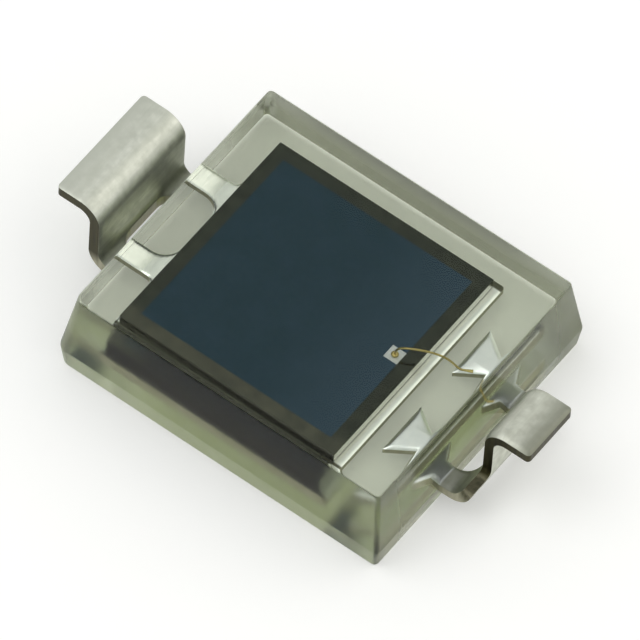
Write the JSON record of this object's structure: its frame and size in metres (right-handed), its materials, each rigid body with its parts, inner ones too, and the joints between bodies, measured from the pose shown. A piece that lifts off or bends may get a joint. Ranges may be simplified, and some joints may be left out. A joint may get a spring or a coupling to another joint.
{
  "type": "photodiode",
  "caption": "Surface-mount silicon photodiode: clear drafted epoxy block over a square die on a flag, with a wide cathode lead and a narrow anode lead bent up to the light face.",
  "frame": {"origin": "middle of the epoxy block's flat back, which is also the bottom middle of the whole part's box", "axes": "+X along the leads towards the anode, +Y across the leads, +Z out of the light-sensitive face"},
  "size_m": [0.0064, 0.0038, 0.0013],
  "materials": {
    "clear_epoxy": "clear moulded epoxy, faint olive tint",
    "tinned_lead": "satin tin plate",
    "adhesive": "silver-filled adhesive, matte",
    "silicon": "sawn and passivated silicon",
    "nitride_film": "dark blue antireflection film",
    "aluminium_pad": "evaporated aluminium",
    "gold_wire": "drawn gold"
  },
  "bodies": {
    "root": {"epoxy_body": "clear_epoxy", "cathode_lead": "tinned_lead", "anode_lead": "tinned_lead", "die_attach": "adhesive", "silicon_die": "silicon", "active_film": "nitride_film", "bond_pad": "aluminium_pad", "bond_wire": "gold_wire"}
  },
  "joints": []
}
